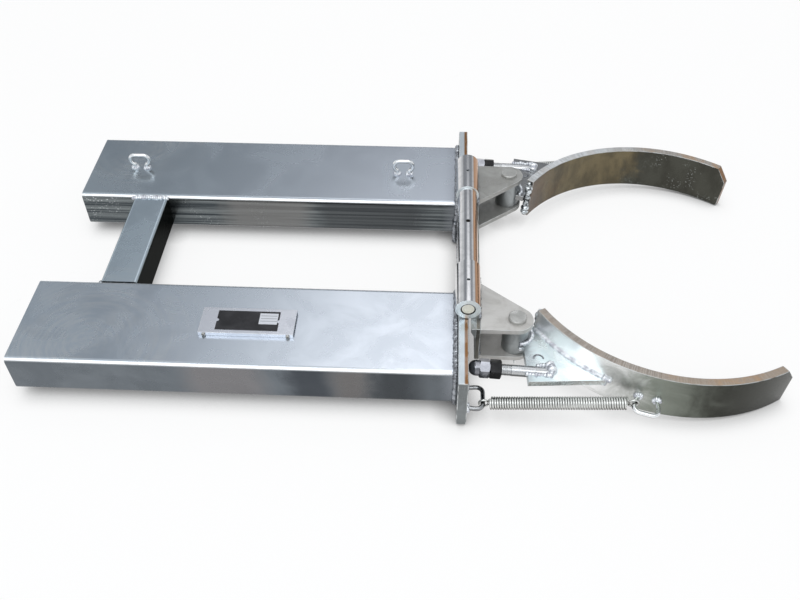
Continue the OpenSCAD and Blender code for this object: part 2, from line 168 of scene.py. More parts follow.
# how far a face looks up, sideways, endways and to the front, 0 to 1
def buildFacing():
    tree, out = shaderGroup("faceDirection", {}, "Up", "Side", "End", "Fore")[::2]
    x, y, z = split(tree, textureSpace(tree, "Normal"))
    looks = {label: math2(tree, "ABSOLUTE", size) for label, size in (("Up", z), ("Side", y), ("End", x))}
    looks["Fore"] = x
    feed(tree, out, {label: ramp(tree, size, 0.55, 0.95) for label, size in looks.items()})
    return tree


# pale colour on the rounded edges, a painted highlight, broken up so that it isn't an even line
def buildEdgeHighlight():
    tree, inp, out = shaderGroup("edgeHighlight", {"Amount": 0.7}, "Shine")
    mark = addNode(tree, "ShaderNodeAttribute", attribute_name="edge").outputs["Fac"]
    broken = ramp(tree, noise(tree, textureSpace(tree), 60.0, 4.0), 0.3, 0.6)
    feed(tree, out, {"Shine": times(tree, mark, broken, inp["Amount"])})
    return tree


# rough end grain of sawn and flame-cut edges
def buildCutFace():
    tree, inp, out = shaderGroup("cutFace", {"Size": 420.0}, "Grain", "Rust")
    point = textureSpace(tree)
    feed(tree, out, {"Grain": ramp(tree, noise(tree, point, inp["Size"], 3.0, 0.8), 0.3, 0.7),
                     "Rust": ramp(tree, noise(tree, point, 32.0, 4.0, 0.6), 0.42, 0.66)})
    return tree


# arcs that a cloth left near the pocket mouths
wipeSizes = {"linesPerMetre": 150.0, "linesPerRadian": 1.6, "lines": (0.35, 0.65), "cloud": (0.35, 0.6),
             "fade": (0.0, 0.5)}


def buildWipeMarks():
    tree, inp, out = shaderGroup("wipeMarks", {"Centre": (0.10, 0.0, 0.08), "Reach": 0.22}, "Mask")
    point = textureSpace(tree)
    offset = vectorMath(tree, "SUBTRACT", point, inp["Centre"])["Vector"]
    radius = vectorMath(tree, "LENGTH", offset)["Value"]
    x, y = split(tree, offset)[:2]
    arcs = combine(tree, {0: times(tree, radius, wipeSizes["linesPerMetre"]),
                          1: times(tree, math2(tree, "ARCTAN2", y, x), wipeSizes["linesPerRadian"])})
    lines = ramp(tree, noise(tree, arcs, 1.0, 3.0, 0.6), *wipeSizes["lines"])
    cloud = ramp(tree, noise(tree, point, 9.0, 2.0), *wipeSizes["cloud"])
    fade = math2(tree, "SUBTRACT", 1.0, math2(tree, "DIVIDE", radius, inp["Reach"]), clamp=True)
    feed(tree, out, {"Mask": times(tree, lines, cloud, ramp(tree, fade, *wipeSizes["fade"]))})
    return tree


effects = {"plating": buildPlating(), "facing": buildFacing(), "edgeHighlight": buildEdgeHighlight(), "cutFace": buildCutFace()}
wipeMarks = buildWipeMarks()


def placeGroup(tree, group, inputs):
    return addNode(tree, "ShaderNodeGroup", inputs, node_tree=group).outputs


def newMaterial(name, metallic, colour):
    material = bpy.data.materials.new(name)
    material.use_nodes = True
    material.diffuse_color = colour + (1.0,)
    tree = material.node_tree
    shader = feed(tree, tree.nodes["Principled BSDF"], {"Metallic": metallic})
    return material, tree, shader


# product of factors: a share, a source, or a source with the limits of a ramp
def maskOf(tree, found, factors):
    return times(tree, *(ramp(tree, found[factor[0]], *factor[1:]) if isinstance(factor, tuple)
                         else found.get(factor, factor) for factor in factors))


# a tone is a colour or a stack: a base and the layers over it, each a tone and the factors of its mask
def paint(tree, finish, found, tone):
    value = finish[tone] if isinstance(tone, str) else tone
    if isinstance(value, tuple):
        return value
    colour = paint(tree, finish, found, value[0])
    for layer, *factors in value[1:]:
        over = paint(tree, finish, found, layer)
        colour = blendColour(tree, maskOf(tree, found, factors), colour, over)
    return colour


# a finish holds tones by name, the sizes of the effects it uses, and what its roughness and relief come from
def makeMetal(name, base, addSources=None, **changes):
    finish = dict(base, **changes)
    material, tree, shader = newMaterial(name, finish["metallic"], finish[finish["shown"]])
    found = dict(zip(("x", "y", "z"), split(tree, textureSpace(tree))))
    for label, group in effects.items():
        if label in finish:
            outputs = placeGroup(tree, group, dict(enumerate(finish[label])))
            found.update({socket.name: socket for socket in outputs})
    if "wander" in finish:
        found["wander"] = plus(tree, found["x"], times(tree, found["Patches"], finish["wander"]))
    if addSources:
        addSources(tree, finish, found)
    rough = maskOf(tree, found, [finish["rough"]])
    if "roughAdd" in finish:
        rough = plus(tree, rough, maskOf(tree, found, finish["roughAdd"]))
    inputs = {"Base Color": paint(tree, finish, found, "colour"), "Roughness": rough}
    if "relief" in finish:
        source, strength, distance = finish["relief"]
        bump = addNode(tree, "ShaderNodeBump", {"Height": found[source], "Strength": strength, "Distance": distance})
        inputs["Normal"] = bump.outputs[0]
    feed(tree, shader, dict(inputs, **finish.get("shader", {})))
    return material


# a band of painted reflection, lighter or darker, across the walls between two places along the pocket
def wallReflectionBand(start, stop, tone, fade=0.05, share=0.7):
    return tone, ("wander", start, start + fade), ("wander", stop - fade, stop, share, 0.0)


# box section of the pockets: pale at the plate end and blue-grey at the mouths, a painted reflection; walls painted
# darker and streaky, with bands of painted reflection
pocketFinish = {
    "metallic": 0.9, "shown": "plateTop", "plating": (9.0, 150.0, 210.0), "facing": (), "wander": 0.02,
    "rough": ("Patches", 0.0, 1.0, 0.20, 0.29), "roughAdd": ("rounded", 0.10), "relief": ("Height", 0.05, 0.002),
    "cornerGain": 2.0, "wiped": {"wipedNear": ((0.13, -0.28, 0.08), 0.24), "wipedFar": ((0.09, 0.30, 0.08), 0.17)},
    "mouthTop": (0.44, 0.50, 0.56), "plateTop": (0.69, 0.73, 0.79), "wipeTone": (0.66, 0.67, 0.66),
    # slope: the tops lighter towards the plate end, a painted reflection
    "slope": ["mouthTop", ("plateTop", ("x", 0.0, 0.75))],
    "top": ["slope", ("mouthTop", "Patches", 0.22), ("wipeTone", "wipedNear", 0.30), ("wipeTone", "wipedFar", 0.30)],
    # walls: darker than the tops by their facing, painted shade for the dark floor seen in them; wallShade darkens them
    # more towards the plate end
    "wallCalm": (0.170, 0.190, 0.210), "calmDark": (0.085, 0.100, 0.115), "wallDark": (0.036, 0.045, 0.052),
    "wallPale": (0.20, 0.22, 0.225), "wallSpeck": (0.85, 0.88, 0.90), "wallShade": (0.045, 0.048, 0.05),
    "calm": ["wallCalm", ("calmDark", "Patches", 0.5)],
    "streaky": ["wallDark", ("wallPale", "Streaks"), ("wallSpeck", "Specks", "Streaks")],
    "wall": ["calm", ("streaky", ("across", 0.18, 0.24, 1.0, 0.0)), ("wallShade", ("x", 0.45, 0.74, 0.0, 0.25))],
    "banded": ["wall", wallReflectionBand(0.30, 0.48, (0.225, 0.212, 0.214)), wallReflectionBand(0.475, 0.60, (0.026, 0.031, 0.040)),
               wallReflectionBand(0.555, 0.67, (0.165, 0.150, 0.142)), wallReflectionBand(0.625, 0.75, (0.026, 0.029, 0.032))],
    # corner: white painted highlight on the rounded corners, widening their shine; heatTone is heat tint next to the
    # end welds
    "endTint": (0.30, 0.31, 0.31), "corner": (1.0, 1.0, 1.0), "heatTone": (0.36, 0.38, 0.42),
    "ended": ["top", ("banded", "Side"), ("endTint", "End", 0.7)],
    "colour": ["ended", ("corner", "rounded"), ("heatTone", ("x", 0.745, 0.782, 0.0, 0.45))],
}


def pocketSources(tree, finish, found):
    found["across"] = math2(tree, "ABSOLUTE", found["y"])
    for label, (centre, reach) in finish["wiped"].items():
        found[label] = placeGroup(tree, wipeMarks, {"Centre": centre, "Reach": reach})["Mask"]
    # rounded: the rounded corners between top, sides and ends, which take the painted highlight
    rounded = finish["cornerGain"]
    for label in ("Up", "Side", "End"):
        away = math2(tree, "SUBTRACT", 1.0, found[label])
        rounded = math2(tree, "MULTIPLY", away, rounded, clamp=label == "End")
    found["rounded"] = rounded


# flat plates: mottled plating with sawn, slightly brown edges
plateFinish = {
    "metallic": 0.85, "shown": "face", "plating": (26.0, 160.0, 320.0), "facing": (), "edgeHighlight": (0.8,),
    "cutFace": (380.0,), "rough": ("Patches", 0.0, 1.0, 0.30, 0.46), "relief": ("Grain", 0.05, 0.001),
    "face": (0.34, 0.36, 0.365), "cloud": (0.20, 0.21, 0.21), "edge": (0.66, 0.68, 0.68),
    "sawn": (0.24, 0.235, 0.22), "brown": (0.27, 0.17, 0.09),
    "cutEdge": ["sawn", ("face", "Grain"), ("brown", "Rust", 0.55)],
    "mottled": ["face", ("cloud", "Patches", 0.6)],
    "edged": ["mottled", ("cutEdge", "Up", 0.35)],
    "speckled": ["edged", ("edge", "Specks", 0.35)],
    "colour": ["speckled", ("edge", "Shine")],
}


# arm bands: outside bright at the root and dark towards the tip, a painted reflection; brown-grey inside, a painted
# reflection of a brown floor; flame-cut rim
bandFinish = {
    "metallic": 0.92, "shown": "outside", "plating": (15.0, 120.0, 230.0), "facing": (), "edgeHighlight": (0.75,),
    "cutFace": (520.0,), "wander": 0.05, "rough": ("Up", 0.0, 1.0, 0.27, 0.60), "relief": ("Grain", 0.12, 0.001),
    "arcHeight": 0.05, "aroundScale": 150.0, "upScale": 260.0, "cloudNoise": (0.055, 4.0, 0.6),
    "dragNoise": (1.0, 2.0, 0.7), "dragRamp": (0.35, 0.65), "dragShare": 0.55, "grainShare": 0.45,
    # outer face: white at the root and near black at the tip, painted reflection
    "corner": (0.16, 0.22, 0.23), "root": (1.0, 1.0, 1.0), "outside": (0.23, 0.25, 0.215),
    "tip": (0.024, 0.025, 0.018),
    "outer": ["corner", ("root", ("wander", 0.924, 0.946)), ("outside", ("wander", 1.02, 1.15)),
              ("tip", ("wander", 1.12, 1.28))],
    # inner face: brown towards the root, painted reflection of a brown floor, with darker clouds and specks
    "insideRoot": (0.090, 0.050, 0.022), "insideMid": (0.165, 0.135, 0.080), "inside": (0.070, 0.070, 0.058),
    "insideDark": (0.034, 0.032, 0.026), "speck": (0.36, 0.38, 0.36),
    "inner": ["insideRoot", ("insideMid", ("wander", 0.96, 1.05)), ("inside", ("wander", 1.16, 1.21)),
              ("insideDark", ("cloud", 0.36, 0.68, 0.0, 0.55)), ("speck", "Specks", ("x", 1.12, 1.20, 0.0, 0.9))],
    # the pale rim tone on the next line paints highlights along the drag lines of the flame-cut rim
    "rim": (0.27, 0.235, 0.205), "rimPale": (0.60, 0.55, 0.50), "rimTip": (0.44, 0.355, 0.28),
    "rimBrown": (0.52, 0.35, 0.22), "tipCut": (0.20, 0.105, 0.045), "edge": (0.50, 0.52, 0.52),
    "cutRim": ["rim", ("rimPale", "lines"), ("rimTip", ("wander", 1.12, 1.22, 0.0, 0.6)),
               ("rimBrown", "Rust", ("x", 1.05, 1.32, 0.15, 0.9))],
    "colour": ["inner", ("outer", ("looks", -0.02, 0.02)), ("speck", "Specks", 0.18),
               ("tipCut", ("edgewise", 0.10, 0.18, 1.0, 0.0), ("x", 1.20, 1.25)), ("cutRim", "Up"), ("edge", "Shine")],
}


def bandSources(tree, finish, found):
    centre = (lifter["arcX"], finish["side"] * lifter["arcY"], finish["arcHeight"])
    outward = vectorMath(tree, "SUBTRACT", textureSpace(tree), centre)["Vector"]
    found["looks"] = vectorMath(tree, "DOT_PRODUCT", outward, textureSpace(tree, "Normal"))["Value"]
    found["edgewise"] = math2(tree, "ABSOLUTE", found["looks"])
    x, y, z = split(tree, outward)
    swing = combine(tree, {0: times(tree, math2(tree, "ARCTAN2", y, x), finish["aroundScale"]),
                           2: times(tree, z, finish["upScale"])})
    found["cloud"] = noise(tree, swing, *finish["cloudNoise"])
    drag = ramp(tree, noise(tree, swing, *finish["dragNoise"]), *finish["dragRamp"])
    grain = times(tree, found["Grain"], finish["grainShare"])
    found["lines"] = plus(tree, times(tree, drag, finish["dragShare"]), grain)


# round bar, tubes and nuts that came out shiny; the tint is a brown floor seen in the tubes
brightFinish = {
    "metallic": 1.0, "shown": "pale", "plating": (60.0, 260.0, 500.0), "edgeHighlight": (0.6,),
    "relief": ("Height", 0.05, 0.0006), "roughSpread": (0.75, 1.35), "specks": 0.15, "edge": (0.80, 0.81, 0.82),
    "tintRamps": (("lookX", 0.42, 0.58, 0.0, 0.9), ("lookZ", 0.18, 0.42), ("slant", 0.22, 0.42)),
    "underFrom": (-0.45, 0.15), "underShare": 0.95, "gapTone": (0.012, 0.011, 0.010),
}


def brightSources(tree, finish, found):
    layers = ["pale", ("dark", "Patches", 0.5), ("dark", "Specks", finish["specks"])]
    if "tint" in finish or "under" in finish:
        found.update(zip(("lookX", "lookY", "lookZ"), split(tree, textureSpace(tree, "Normal"))))
    if "tint" in finish:
        found["slant"] = addNode(tree, "ShaderNodeLayerWeight").outputs["Facing"]
        layers.append(("tint", *finish["tintRamps"]))
    # a dark tone on the downward-facing sides: painted shade
    if "under" in finish:
        layers.append(("under", ("lookZ", *finish["underFrom"], finish["underShare"], 0.0)))
    if "endTone" in finish:
        layers.append(("endTone", "Side", 0.9))
    layers.append(("edge", "Shine"))
    # a dark ring where the pin meets the tube bore: painted shadow in the gap
    if "gap" in finish:
        x = math2(tree, "SUBTRACT", found["x"], lifter["hingeX"])
        z = math2(tree, "SUBTRACT", found["z"], lifter["hingeZ"])
        found["hinge"] = math2(tree, "SQRT", plus(tree, times(tree, x, x), times(tree, z, z)))
        layers.append(("gapTone", ("hinge", *finish["gap"])))
    finish["colour"] = layers


def makeBright(name, pale, dark, rough, **changes):
    low, high = (rough * spread for spread in brightFinish["roughSpread"])
    return makeMetal(name, brightFinish, brightSources, pale=pale, dark=dark,
                     rough=("Patches", 0.0, 1.0, low, high), **changes)


# weld metal: bright crests, a painted highlight, and dark valleys, soot with painted shade, both following the lumps of
# the bead
weldFinish = {"metallic": 0.9, "shown": "crest", "lumpNoise": (120.0, 3.0, 0.7),
              "rough": ("lumps", 0.3, 0.7, 0.46, 0.28), "relief": ("lumps", 0.2, 0.001),
              "colour": ["soot", ("crest", ("lumps", 0.36, 0.60))]}


def weldSources(tree, finish, found):
    found["lumps"] = noise(tree, textureSpace(tree), *finish["lumpNoise"])


# black data plate with an empty ruled field; the field and its bars are in half plates from the centre
labelFinish = {"metallic": 0.3, "shown": "black", "plating": (40.0, 300.0, 400.0),
               "rough": ("Patches", 0.0, 1.0, 0.28, 0.45), "centre": (0.4095, -0.224), "half": (0.0555, 0.02275),
               "black": (0.012, 0.012, 0.014), "worn": (0.05, 0.05, 0.055), "pale": (0.62, 0.64, 0.68),
               "colour": ["black", ("worn", "Patches", 0.5), ("pale", "marks")], "field": (0.36, 0.95, -0.36, 0.80),
               "bars": (0.50, 0.22, -0.06), "barEnds": (0.40, 0.92), "barHeight": 0.06, "barShare": 0.55}


def labelSources(tree, finish, found):
    u, v = (math2(tree, "DIVIDE", math2(tree, "SUBTRACT", found[axis], centre), half)
            for axis, centre, half in zip("xy", finish["centre"], finish["half"]))

    def box(left, right, low, high):
        return times(tree, math2(tree, "GREATER_THAN", u, left), math2(tree, "LESS_THAN", u, right),
                     math2(tree, "GREATER_THAN", v, low), math2(tree, "LESS_THAN", v, high))

    marks = box(*finish["field"])
    for low in finish["bars"]:
        bar = box(*finish["barEnds"], low, low + finish["barHeight"])
        marks = math2(tree, "SUBTRACT", marks, times(tree, bar, finish["barShare"]))
    found["marks"] = marks


def makePocket(name, **changes):
    return makeMetal(name, pocketFinish, pocketSources, **changes)


def makePlate(name, face, cloud, **changes):
    return makeMetal(name, plateFinish, face=face, cloud=cloud, **changes)


def makeBand(name, **changes):
    return makeMetal(name, bandFinish, bandSources, **changes)


def makeWeldMetal(name, soot, crest):
    return makeMetal(name, weldFinish, weldSources, soot=soot, crest=crest)


# the far pocket is a darker copy of the near one, painted shade, with its own bands of painted reflection
pocketZinc = {
    "near": makePocket("nearPocketZinc"),
    "far": makePocket("farPocketZinc", mouthTop=(0.40, 0.46, 0.51), plateTop=(0.56, 0.60, 0.66), banded=[
        "wall", wallReflectionBand(0.28, 0.50, (0.20, 0.195, 0.19)), wallReflectionBand(0.47, 0.745, (0.048, 0.051, 0.055))])}
# crossbar: its front face painted near black through endTint on Fore, painted shade for the dark floor seen in it; its
# corners take a weaker painted highlight
barZinc = makePocket("crossbarZinc", mouthTop=(0.46, 0.54, 0.60), plateTop=(0.50, 0.58, 0.64), banded=["wall"],
                     slope=["mouthTop", ("plateTop", ("x", 0.10, 0.20))], endTint=(0.030, 0.035, 0.031),
                     ended=["top", ("banded", "Side"), ("endTint", "Fore")], corner=(0.40, 0.46, 0.50),
                     shader={"Specular Tint": (0.3, 0.3, 0.3, 1.0)})
plateZinc = makePlate("plateZinc", plateFinish["face"], plateFinish["cloud"])
# back plate: the pale rim tone on its top face is a painted highlight
backZinc = makePlate("backPlateZinc", (0.22, 0.235, 0.24), (0.13, 0.14, 0.14), rim=(0.72, 0.79, 0.84),
                     stripe=(0.25, 0.125, 0.05), speckled=[
                         "edged", ("edge", "Specks", 0.35), ("rim", "Up", 0.7),
                         ("stripe", ("x", 0.7915, 0.7945), "Up", ("Rust", 0.0, 0.6, 0.86, 1.0))])
# front plate: its dark face is painted shade for the shadow it sits in between the back plate and the clevises
frontZinc = makePlate("frontPlateZinc", (0.13, 0.125, 0.11), (0.05, 0.05, 0.045),
                      edged=["mottled", ("cutEdge", "Up", 0.8)])
clevis = {"edged": ["mottled"], "rough": ("Patches", 0.0, 1.0, 0.42, 0.56), "metallic": 0.55}
# the far clevis plates are a darker copy of the near ones: painted shade
clevisZinc = {"near": makePlate("nearClevisZinc", (0.57, 0.56, 0.54), (0.36, 0.345, 0.32), **clevis),
              "far": makePlate("farClevisZinc", (0.40, 0.40, 0.385), (0.22, 0.215, 0.20), **clevis)}
tailEdge = ["mottled", ("cutEdge", "Side", 0.7)]
# near tail plate near white with a cyan cast, a painted reflection; the far one is a darker copy, painted shade
tailZinc = {
    "near": makePlate("nearTailZinc", (0.90, 0.97, 0.98), (0.56, 0.70, 0.72), metallic=0.8, edged=tailEdge,
                      # the grey tone set on this line darkens the near tail plate towards its pivot end
                      rough=("Patches", 0.0, 1.0, 0.20, 0.34), stain=(0.38, 0.42, 0.44), wander=0.022, mottled=[
                          "face", ("cloud", "Patches", 0.6), ("stain", ("wander", 0.915, 0.945, 0.85, 0.0))]),
    "far": makePlate("farTailZinc", (0.30, 0.305, 0.31), (0.17, 0.175, 0.18), edged=tailEdge,
                     rough=("Patches", 0.0, 1.0, 0.22, 0.34))}
holderZinc = makePlate("holderZinc", (0.66, 0.68, 0.73), (0.54, 0.56, 0.62), edged=["mottled"],
                       rough=("Patches", 0.0, 1.0, 0.24, 0.34))
bandZinc = {
    "near": makeBand("nearBandZinc", side=sides["near"]),
    # the far rim is paler: brighter painted highlights
    "far": makeBand("farBandZinc", side=sides["far"], rim=(0.42, 0.43, 0.43), rimPale=(0.86, 0.88, 0.90),
                    rimBrown=(0.50, 0.36, 0.25), rimTip=(0.30, 0.25, 0.20))}
tubeZinc = makeBright("hingeTubeZinc", (0.70, 0.70, 0.71), (0.50, 0.50, 0.51), 0.13, tint=(0.38, 0.185, 0.075),
                      facing=(), endTone=(0.90, 0.97, 0.99), roughAdd=("Side", 0.35), gap=(0.0128, 0.0138, 1.0, 0.0))
hingePinZinc = makeBright("hingePinZinc", (0.50, 0.50, 0.47), (0.40, 0.40, 0.37), 0.34, metallic=0.7, facing=(),
                          endTone=(0.86, 0.85, 0.76), roughAdd=("Side", 0.35), gap=(0.0106, 0.0118, 0.0, 1.0))
# anchor bars: a darker copy of the bright bar, painted shade for the shadow around them
shadedAnchorBar = makeBright("anchorZincShaded", (0.36, 0.37, 0.38), (0.16, 0.165, 0.17), 0.20, under=(0.03, 0.03, 0.03),
                     underFrom=(-0.3, 0.35))
grubDark = makeBright("grubDark", (0.06, 0.055, 0.05), (0.02, 0.02, 0.02), 0.35, edge=(0.2, 0.2, 0.2))
# the dark tones for the downward-facing sides in this block are painted shade
barBright = makeBright("barBright", (0.92, 0.94, 0.95), (0.66, 0.68, 0.70), 0.20, under=(0.14, 0.14, 0.13))
# the pin heads' white edge is a painted highlight on their rims
pinDull = makeBright("pinDull", (0.46, 0.46, 0.445), (0.27, 0.27, 0.255), 0.36, metallic=0.65, edge=(1.0, 1.0, 0.98))
domeChrome = makeBright("domeNutZinc", (0.25, 0.255, 0.28), (0.14, 0.145, 0.16), 0.13, under=(0.02, 0.02, 0.025))
studSteel = makeBright("studSteel", (0.56, 0.57, 0.58), (0.46, 0.47, 0.48), 0.24, specks=0.0, under=(0.02, 0.02, 0.018),
                       underFrom=(-0.35, 0.30))
springWire = makeBright("springWire", (0.74, 0.75, 0.73), (0.52, 0.53, 0.51), 0.26, under=(0.045, 0.04, 0.03),
                        underFrom=(-0.30, 0.30))
nutBlack = makeBright("nutBlack", (0.012, 0.012, 0.013), (0.006, 0.006, 0.007), 0.34, metallic=0.7, specks=0.3,
                      edge=(0.06, 0.06, 0.06))
weldGrey = makeWeldMetal("weldGrey", (0.16, 0.165, 0.18), (0.40, 0.42, 0.45))
weldSpark = makeWeldMetal("weldSpark", (0.03, 0.035, 0.04), (0.80, 0.85, 0.88))
weldPale = makeWeldMetal("weldPale", (0.46, 0.47, 0.52), (0.84, 0.87, 0.90))
labelBlack = makeMetal("dataPlateBlack", labelFinish, labelSources)
print("materials made:", len(bpy.data.materials))


# meshes: distance and angles, in degrees, for merging, flattening, bevels and shading
easing = {"merge": 1e-6, "flat": 0.4, "sharp": 40.0, "shade": 35.0}


def addObject(name, mesh):
    piece = bpy.data.objects.new(name, mesh)
    scene.collection.objects.link(piece)
    return piece


def setMaterial(piece, material):
    piece.data.materials.clear()
    piece.data.materials.append(material)


def settle(piece, body, slot, *replaced):
    if replaced:
        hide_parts(*replaced)
    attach(piece, body)
    return piece


def flatten(piece):
    bpy.context.view_layer.update()
    shape = bpy.data.meshes.new_from_object(piece.evaluated_get(bpy.context.evaluated_depsgraph_get()))
    piece.modifiers.clear()
    piece.data = shape
    return piece


def weighted(piece):
    mesh = piece.data
    mesh.polygons.foreach_set("use_smooth", [True] * len(mesh.polygons))
    mesh.set_sharp_from_angle(angle=math.radians(easing["shade"]))
    modifier = piece.modifiers.new("weighted", "WEIGHTED_NORMAL")
    modifier.weight = 100
    modifier.keep_sharp = True
    return flatten(piece)


# copy of a solid with its edges eased, as real plates and bars have
def easedNode(node, body, material, slot, width, steps=2, angle=easing["sharp"]):
    mesh = nodes[node].data.copy()
    work = bmesh.new()
    work.from_mesh(mesh)
    bmesh.ops.remove_doubles(work, verts=work.verts, dist=easing["merge"])
    flat = math.radians(easing["flat"])
    bmesh.ops.dissolve_limit(work, angle_limit=flat, verts=work.verts, edges=work.edges)
    mark = work.faces.layers.float.new("edge")
    if width:
        sharp = [e for e in work.edges if len(e.link_faces) == 2 and e.calc_face_angle(0.0) > math.radians(angle)]
        made = bmesh.ops.bevel(work, geom=sharp, offset=width, offset_type="OFFSET", segments=steps, profile=0.5,
                               affect="EDGES", clamp_overlap=True, loop_slide=True)
        for face in made["faces"]:
            face[mark] = 1.0
    bmesh.ops.triangulate(work, faces=[f for f in work.faces if len(f.verts) > 4])
    mesh.clear_geometry()
    work.to_mesh(mesh)
    work.free()
    piece = addObject(node + "_eased", mesh)
    setMaterial(piece, material)
    weighted(piece)
    settle(piece, body, slot, node)


# rows of node, material, slot, width of the eased edge and, where they differ, its steps and least angle
def dress(body, *rows):
    for node, *how in rows:
        easedNode(node, body, *how)


def ringPoints(radius, steps, height):
    turns = [2 * math.pi * i / steps for i in range(steps)]
    return [Vector((radius * math.cos(turn), radius * math.sin(turn), height)) for turn in turns]


# turned piece from a profile of (along, radius) pairs
def turned(name, profile, matrix, steps=48):
    work = bmesh.new()
    rings = []
    for along, radius in profile:
        points = ringPoints(radius, steps, along) if radius else [(0, 0, along)]
        rings.append([work.verts.new(point) for point in points])
    for lower, upper in zip(rings, rings[1:]):
        for i in range(steps):
            j = (i + 1) % steps
            if len(lower) == 1:
                work.faces.new((lower[0], upper[j], upper[i]))
            elif len(upper) == 1:
                work.faces.new((lower[i], lower[j], upper[0]))
            else:
                work.faces.new((lower[i], lower[j], upper[j], upper[i]))
    bmesh.ops.recalc_face_normals(work, faces=work.faces)
    mesh = bpy.data.meshes.new(name)
    work.to_mesh(mesh)
    work.free()
    mesh.transform(matrix)
    return mesh


def pathMesh(name, paths, closed=False):
    points, edges = [], []
    for path in paths:
        first = len(points)
        points += [tuple(p) for p in path]
        edges += [(first + i, first + i + 1) for i in range(len(path) - 1)]
        if closed:
            edges.append((len(points) - 1, first))
    mesh = bpy.data.meshes.new(name)
    mesh.from_pydata(points, edges, [])
    return mesh


# geometry node trees
def geometryTree(name, inputs):
    inputs = {"Geometry": "Geometry", **inputs, "Material": "Material"}
    return newGroup(name, "GeometryNodeTree", inputs, ["Geometry"], "Geometry")


def closeTree(tree, inp, out, geometry, smooth=True):
    real = addNode(tree, "GeometryNodeRealizeInstances", {0: geometry})
    shade = addNode(tree, "GeometryNodeSetShadeSmooth", {0: real.outputs[0], "Shade Smooth": smooth})
    coat = addNode(tree, "GeometryNodeSetMaterial", {"Geometry": shade.outputs[0], "Material": inp["Material"]})
    feed(tree, out, {0: coat.outputs[0]})
    return tree


# round skin of a given width along a curve
def sleeve(tree, curve, width, count):
    ring = addNode(tree, "GeometryNodeCurvePrimitiveCircle", {"Resolution": count, "Radius": times(tree, width, 0.5)})
    inputs = {"Curve": curve, "Profile Curve": ring.outputs[0], "Fill Caps": True}
    return addNode(tree, "GeometryNodeCurveToMesh", inputs).outputs[0]


# weld seam: overlapping lumps of metal along a path, each shorter than it is wide
lumpSizes = {"radius": 0.5, "detail": 2, "along": 0.8}


def buildWeldTree():
    tree, inp, out = geometryTree("weldSeam", {"Pitch": 0.003, "Width": 0.010, "Unevenness": 0.25, "Seed": 1})
    curve = addNode(tree, "GeometryNodeMeshToCurve", {0: inp["Geometry"]}).outputs[0]
    even = addNode(tree, "GeometryNodeResampleCurve", {"Curve": curve, "Length": inp["Pitch"]}, mode="LENGTH")
    inputs = {"Radius": lumpSizes["radius"], "Subdivisions": lumpSizes["detail"]}
    lump = addNode(tree, "GeometryNodeMeshIcoSphere", inputs)
    tangent = addNode(tree, "GeometryNodeInputTangent").outputs[0]
    align = addNode(tree, "FunctionNodeAlignRotationToVector", {"Vector": tangent}, axis="X")
    low, high = (math2(tree, way, 1.0, inp["Unevenness"]) for way in ("SUBTRACT", "ADD"))
    spread = addNode(tree, "FunctionNodeRandomValue", {2: low, 3: high, "Seed": inp["Seed"]}, data_type="FLOAT")
    across = times(tree, inp["Width"], spread.outputs[1])
    size = combine(tree, {0: times(tree, inp["Width"], lumpSizes["along"]), 1: across, 2: across})
    lumps = addNode(tree, "GeometryNodeInstanceOnPoints", {
        "Points": even.outputs[0], "Instance": lump.outputs[0], "Rotation": align.outputs[0], "Scale": size})
    return closeTree(tree, inp, out, lumps.outputs[0])


# round bar bent along a path, corners rounded to the bend radius
def buildBarTree():
    tree, inp, out = geometryTree("bentBar", {"Bar": 0.008, "Bend": 0.012, "Bend Steps": 8, "Sides": 20})
    curve = addNode(tree, "GeometryNodeMeshToCurve", {0: inp["Geometry"]}).outputs[0]
    inputs = {"Curve": curve, "Radius": inp["Bend"], "Count": inp["Bend Steps"], "Limit Radius": True}
    bend = addNode(tree, "GeometryNodeFilletCurve", inputs, mode="POLY")
    return closeTree(tree, inp, out, sleeve(tree, bend.outputs[0], inp["Bar"], inp["Sides"]))


# wound wire: springs and screw threads
def buildCoilTree():
    tree, inp, out = geometryTree("woundWire", {"Turns": 54.0, "Mean Radius": 0.0088, "Length": 0.2, "Wire": 0.0034,
                                                "Wire Sides": 8, "Steps": 20})
    spiral = addNode(tree, "GeometryNodeCurveSpiral", {
        "Rotations": inp["Turns"], "Resolution": inp["Steps"], "Start Radius": inp["Mean Radius"],
        "End Radius": inp["Mean Radius"], "Height": inp["Length"]})
    return closeTree(tree, inp, out, sleeve(tree, spiral.outputs[0], inp["Wire"], inp["Wire Sides"]))


def buildScrewTree():
    tree, inp, out = geometryTree("plateScrews", {"Head": "Object"})
    head = addNode(tree, "GeometryNodeObjectInfo", {"Object": inp["Head"]}).outputs["Geometry"]
    place = addNode(tree, "GeometryNodeInstanceOnPoints", {"Points": inp["Geometry"], "Instance": head})
    return closeTree(tree, inp, out, place.outputs[0], smooth=False)


weldTree = buildWeldTree()
barTree = buildBarTree()
coilTree = buildCoilTree()


def growNodes(name, mesh, tree, values, matrix=None):
    piece = addObject(name, mesh)
    modifier = piece.modifiers.new(tree.name, "NODES")
    modifier.node_group = tree
    for item in tree.interface.items_tree:
        if item.in_out == "INPUT" and item.name in values:
            modifier[item.identifier] = values[item.name]
    flatten(piece)
    if matrix is not None:
        piece.data.transform(matrix)
    work = bmesh.new()
    work.from_mesh(piece.data)
    bmesh.ops.recalc_face_normals(work, faces=work.faces)
    work.to_mesh(piece.data)
    work.free()
    return piece


def bead(pitch, width, seed, unevenness=0.22, material=weldGrey):
    return {"Pitch": pitch, "Width": width, "Seed": seed, "Unevenness": unevenness, "Material": material}


def weld(name, body, paths, look, closed=False):
    settle(growNodes(name, pathMesh(name, paths, closed), weldTree, look), body, "bright_zinc")


